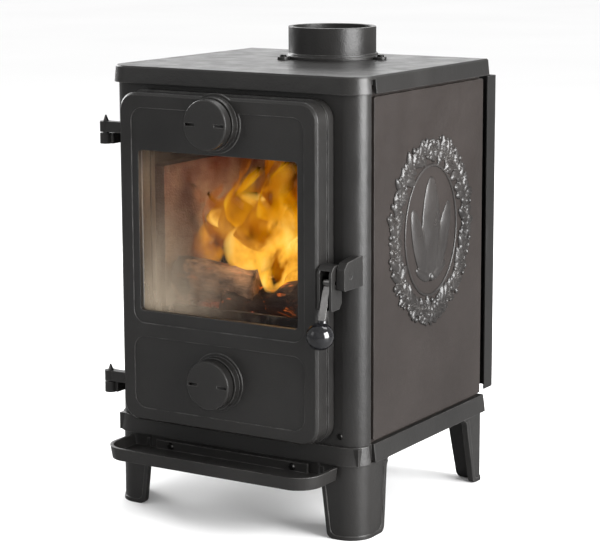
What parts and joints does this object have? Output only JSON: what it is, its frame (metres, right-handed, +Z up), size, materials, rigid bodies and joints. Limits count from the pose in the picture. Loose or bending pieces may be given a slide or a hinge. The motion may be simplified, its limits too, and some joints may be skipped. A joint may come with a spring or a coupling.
{
  "type": "wood burning stove",
  "caption": "Cast-iron stove on short legs with a glazed hinged door, screw-out air dials, lever latch with ball knob, ash pan, riddling grate and top flue collar.",
  "frame": {"origin": "on the floor under the centre of the whole stove's bounding box", "axes": "+Z up; -Y out of the front, where the door is; +X towards the latch side, the stove's left as seen from inside, right as seen from the front"},
  "size_m": [0.39, 0.458, 0.633],
  "materials": {
    "cast_iron_black": "matt stove paint over fine cast grain",
    "side_panel_iron": "matt warm charcoal stove paint over fine cast grain",
    "inner_iron": "bare iron, dull and sooty",
    "steel_sheet": "matt black sheet steel",
    "glass": "clear heat-resistant glass with a slight smoke tint",
    "firebrick": null,
    "rope_seal": "braided glass fibre rope, dark grey",
    "bright_steel": "dark polished steel",
    "knob_black": "high gloss black",
    "fasteners": "blackened steel"
  },
  "bodies": {
    "root": {"base_casting": "cast_iron_black", "leg_front_right": "cast_iron_black", "leg_front_left": "cast_iron_black", "leg_rear_right": "cast_iron_black", "leg_rear_left": "cast_iron_black", "ash_lip": "cast_iron_black", "front_frame": "cast_iron_black", "rear_plate": "cast_iron_black", "rear_blanking_plate": "cast_iron_black", "top_plate": "cast_iron_black", "flue_collar": "cast_iron_black", "catch_block": "cast_iron_black", "side_panel_right": "side_panel_iron", "side_panel_left": "side_panel_iron", "grate_frame": "inner_iron", "fuel_guard": "inner_iron", "baffle_plate": "inner_iron", "ash_shelf": "inner_iron", "pan_runners": "inner_iron", "heat_shield": "steel_sheet", "shield_spacers": "steel_sheet", "fire_brick_right": "firebrick", "fire_brick_left": "firebrick", "fire_brick_rear": "firebrick", "keeper_pin": "bright_steel", "hinge_pins": "bright_steel", "leg_bolts": "fasteners", "ash_lip_screws": "fasteners", "frame_screws": "fasteners", "blanking_screws": "fasteners", "shield_screws": "fasteners", "flue_screws": "fasteners", "tie_rods": "fasteners", "tie_rod_nuts": "fasteners"},
    "door": {"door_casting": "cast_iron_black", "door_rope_seal": "rope_seal", "door_glass": "glass", "glass_gasket": "rope_seal", "glass_clips": "steel_sheet", "glass_clip_screws": "fasteners", "airwash_deflector": "steel_sheet", "latch_housing": "cast_iron_black", "latch_screws": "fasteners", "lever_pin": "bright_steel"},
    "door_handle": {"door_lever": "bright_steel", "lever_knob": "knob_black"},
    "upper_dial_slide": {"upper_dial_washer": "bright_steel"},
    "upper_dial": {"upper_air_dial": "cast_iron_black"},
    "lower_dial_slide": {"lower_dial_washer": "bright_steel"},
    "lower_dial": {"lower_air_dial": "cast_iron_black"},
    "ash_drawer": {"ash_pan": "steel_sheet"},
    "grate_centre": {"grate_disc": "inner_iron"}
  },
  "joints": [
    {"name": "door_hinge", "type": "hinge", "parent": "root", "child": "door", "pos_m": [-0.1855, -0.17, 0.345], "axis": [0, 0, -1], "range_deg": [0, 115]},
    {"name": "handle_turn", "type": "hinge", "parent": "door", "child": "door_handle", "pos_m": [0.1626, -0.1815, 0.338], "axis": [-1, 0, 0], "range_deg": [0, 75]},
    {"name": "upper_dial_travel", "type": "slide", "parent": "door", "child": "upper_dial_slide", "axis": [0, -1, 0], "range_m": [0, 0.012]},
    {"name": "upper_dial_turn", "type": "hinge", "parent": "upper_dial_slide", "child": "upper_dial", "pos_m": [0, -0.207, 0.5265], "axis": [0, -1, 0], "range_deg": [0, 1080]},
    {"name": "lower_dial_travel", "type": "slide", "parent": "door", "child": "lower_dial_slide", "axis": [0, -1, 0], "range_m": [0, 0.012]},
    {"name": "lower_dial_turn", "type": "hinge", "parent": "lower_dial_slide", "child": "lower_dial", "pos_m": [0, -0.207, 0.193], "axis": [0, -1, 0], "range_deg": [0, 1080]},
    {"name": "ash_pan_slide", "type": "slide", "parent": "root", "child": "ash_drawer", "axis": [0, -1, 0], "range_m": [0, 0.17]},
    {"name": "grate_riddle", "type": "hinge", "parent": "root", "child": "grate_centre", "pos_m": [0, 0.022, 0.222], "axis": [0, 0, 1], "range_deg": [-20, 20]}
  ],
  "couplings": [
    {"joint": "upper_dial_travel", "follows": "upper_dial_turn", "m_per_rad": 0.000636},
    {"joint": "lower_dial_travel", "follows": "lower_dial_turn", "m_per_rad": 0.000636},
    {"joint": "ash_pan_slide", "follows": "door_hinge", "m_per_rad": 0.0845}
  ]
}
